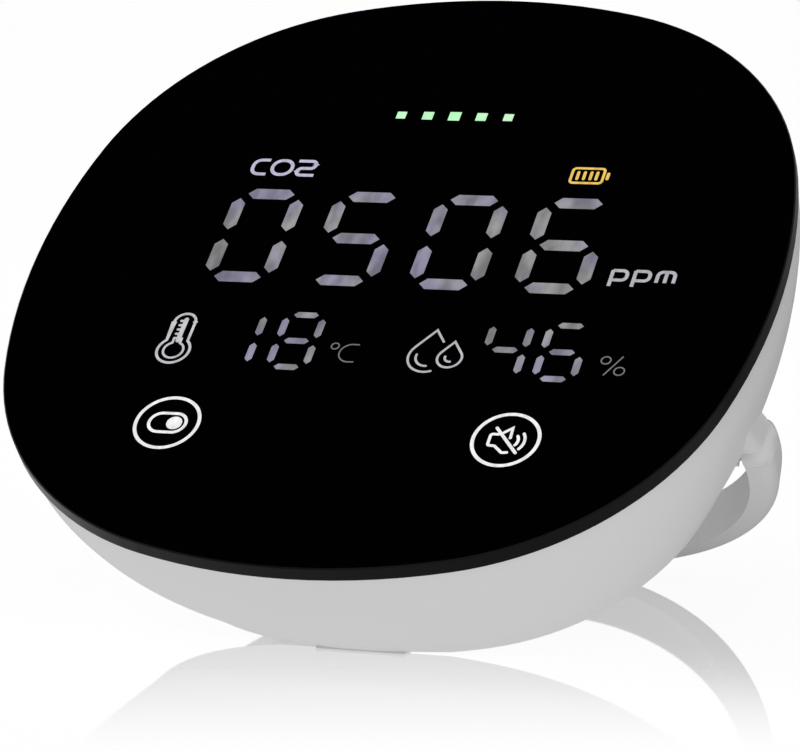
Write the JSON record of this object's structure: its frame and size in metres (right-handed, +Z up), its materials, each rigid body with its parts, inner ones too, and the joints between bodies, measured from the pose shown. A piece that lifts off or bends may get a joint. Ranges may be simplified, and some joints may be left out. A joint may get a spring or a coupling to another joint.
{
  "type": "carbon dioxide monitor",
  "caption": "Leaning indoor air monitor: a rounded-square black glass display on a smooth white dish shell, held up by a fold-out loop stand hinged at its sides.",
  "frame": {"origin": "middle of the front foot pad's underside, where the dish rests on the table", "axes": "+X to the right along the display's rows, +Y away from the reader, +Z up from the table"},
  "size_m": [0.12, 0.118, 0.0946],
  "materials": {
    "black_glass": "gloss",
    "lit_window": "satin",
    "dark_window": "gloss",
    "green_window": "satin",
    "white_print": "matte",
    "black_tape": "matte",
    "black_plastic": "satin",
    "white_film": "matte",
    "white_plastic": "satin",
    "lamp": "gloss",
    "black_board": "satin",
    "green_board": "satin",
    "screw_steel": "satin",
    "spring_steel": "satin",
    "foam": "matte",
    "battery_foil": "satin",
    "sensor_brass": "satin",
    "chip_plastic": "matte",
    "socket_steel": "satin",
    "shell_white": "satin",
    "pin_steel": "satin",
    "washer_plastic": "matte",
    "foot_rubber": "matte"
  },
  "bodies": {
    "housing": {"front_glass": "black_glass", "co2_digits": "lit_window", "temperature_digits": "lit_window", "humidity_digits": "lit_window", "idle_segments": "dark_window", "level_windows": "green_window", "touch_rings": "white_print", "glass_tape": "black_tape", "front_frame": "black_plastic", "diffuser_film": "white_film", "light_block": "white_plastic", "display_leds": "lamp", "display_board": "black_board", "display_screws": "screw_steel", "touch_springs": "spring_steel", "battery_pad": "foam", "battery_cell": "battery_foil", "battery_plug": "white_plastic", "main_board": "green_board", "board_screws": "screw_steel", "co2_sensor": "sensor_brass", "sensor_filter": "white_film", "buzzer": "black_plastic", "controller_chip": "chip_plastic", "board_parts": "chip_plastic", "humidity_sensor": "chip_plastic", "ribbon_sockets": "white_plastic", "ribbon_cable": "white_film", "usb_socket": "socket_steel", "rear_shell": "shell_white", "rear_cover": "shell_white", "cover_screws": "screw_steel", "case_screws": "screw_steel", "hinge_pins": "pin_steel", "hinge_washers": "washer_plastic", "front_foot_pad": "foot_rubber"},
    "stand": {"stand_loop": "shell_white", "stand_foot_pad": "foot_rubber"}
  },
  "joints": [
    {"name": "stand_hinge", "type": "hinge", "parent": "housing", "child": "stand", "pos_m": [0, 0.02565, 0.03049], "axis": [1, 0, 0], "range_deg": [0, 64.7]}
  ]
}
